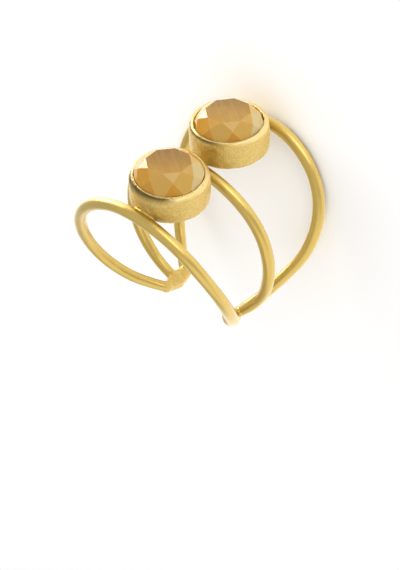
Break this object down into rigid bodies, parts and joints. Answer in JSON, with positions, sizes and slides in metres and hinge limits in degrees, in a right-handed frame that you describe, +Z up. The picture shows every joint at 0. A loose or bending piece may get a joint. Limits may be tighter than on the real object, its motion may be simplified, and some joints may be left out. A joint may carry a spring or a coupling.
{
  "type": "finger ring",
  "caption": "Open finger ring of round gold-coloured wires that fan out between soldered ends and carry round faceted stones in plain cups.",
  "frame": {"origin": "centre of the bounding box on the surface that the ring rests on", "axes": "+Z up from the surface, with the ring on its side on its rear wire; +X from the gap between the ends towards the stones"},
  "size_m": [0.0254, 0.0214, 0.0215],
  "materials": {
    "gold_metal": "satin gold plating over brass",
    "honey_stone": "polished, milky honey"
  },
  "bodies": {
    "root": {"soldered_frame": "gold_metal", "front_stone": "honey_stone", "rear_stone": "honey_stone"}
  },
  "joints": []
}
